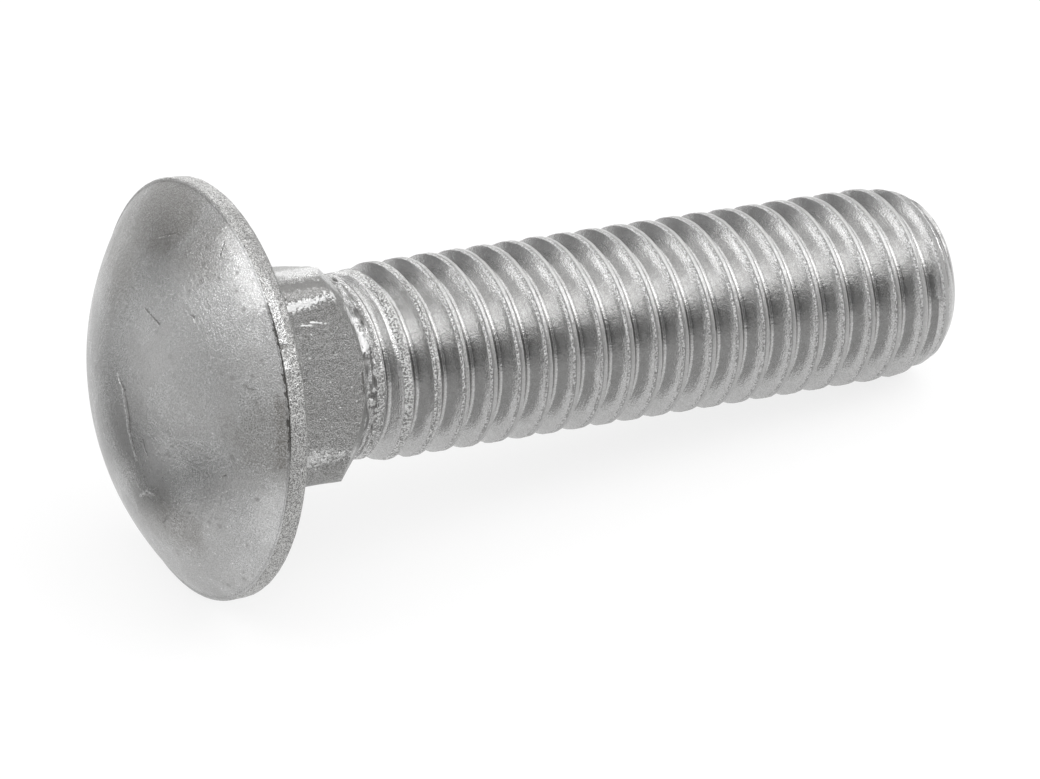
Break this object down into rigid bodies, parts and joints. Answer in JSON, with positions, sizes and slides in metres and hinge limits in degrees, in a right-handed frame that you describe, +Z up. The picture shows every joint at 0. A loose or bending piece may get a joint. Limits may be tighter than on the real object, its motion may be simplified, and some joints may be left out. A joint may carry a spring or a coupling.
{
  "type": "carriage bolt",
  "caption": "Stainless carriage bolt: shallow domed head, square neck that locks in its hole, and a coarse rolled thread down to a rounded, chamfered tip.",
  "frame": {"origin": "on the floor, under the centre of the bolt's bounding box, with the bolt lying on the rim of its head and on a crest of its thread", "axes": "+Z up; +X from the head towards the tip, level with the floor, so that the bolt's own axis dips 8.26 degrees below +X; +Y to the left of someone who looks along +X"},
  "size_m": [0.0574, 0.0262, 0.026],
  "materials": {
    "stainless_steel": "satin"
  },
  "bodies": {
    "root": {"carriage_bolt": "stainless_steel"}
  },
  "joints": []
}
